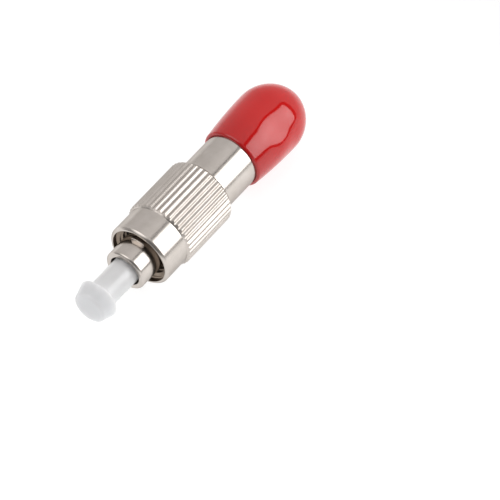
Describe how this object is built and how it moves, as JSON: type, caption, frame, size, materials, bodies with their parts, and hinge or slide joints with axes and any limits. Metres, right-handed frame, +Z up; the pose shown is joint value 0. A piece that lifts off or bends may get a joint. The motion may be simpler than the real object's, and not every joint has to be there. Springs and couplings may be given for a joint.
{
  "type": "fibre optic adapter",
  "caption": "Inline plug-to-socket fibre optic adapter with a knurled screw coupling nut, spring-loaded ceramic ferrule, split sleeve socket and push-on dust caps.",
  "frame": {"origin": "centre of the plug barrel's front face, on the axis", "axes": "+X along the axis from the plug towards the socket, +Z up through the key of the plug"},
  "size_m": [0.044, 0.01, 0.01],
  "materials": {
    "nickel_plate": "polished nickel plate on brass",
    "zirconia": "polished white ceramic",
    "silica": "clear glass fibre",
    "spring_steel": "drawn spring steel",
    "white_polyethylene": "natural translucent, soft sheen",
    "red_vinyl": "glossy dipped soft vinyl"
  },
  "bodies": {
    "housing": {"plug_shell": "nickel_plate", "socket_body": "nickel_plate", "sleeve_holder": "nickel_plate", "split_sleeve": "zirconia", "spring_seat": "nickel_plate", "ferrule_spring": "spring_steel"},
    "ferrule_unit": {"ferrule": "zirconia", "ferrule_collar": "nickel_plate", "fibre_core": "silica"},
    "snap_ring": {"nut_ring": "spring_steel"},
    "nut": {"coupling_nut": "nickel_plate"},
    "white_cap": {"ferrule_cap": "white_polyethylene"},
    "red_cap": {"thread_cap": "red_vinyl"}
  },
  "joints": [
    {"name": "nut_slide", "type": "slide", "parent": "housing", "child": "snap_ring", "axis": [-1, 0, 0], "range_m": [0, 0.0034]},
    {"name": "nut_spin", "type": "hinge", "parent": "snap_ring", "child": "nut", "pos_m": [0.01115, 0, 0], "axis": [-1, 0, 0], "continuous": true},
    {"name": "ferrule_float", "type": "slide", "parent": "housing", "child": "ferrule_unit", "axis": [1, 0, 0], "range_m": [0, 0.0008], "stiffness_N_per_m": 6000, "springref_m": -0.0013, "deforming": ["ferrule_spring"]},
    {"name": "ferrule_cap_pull", "type": "slide", "parent": "ferrule_unit", "child": "white_cap", "axis": [-1, 0, 0], "range_m": [0, 0.012]},
    {"name": "thread_cap_pull", "type": "slide", "parent": "housing", "child": "red_cap", "axis": [1, 0, 0], "range_m": [0, 0.025]}
  ]
}
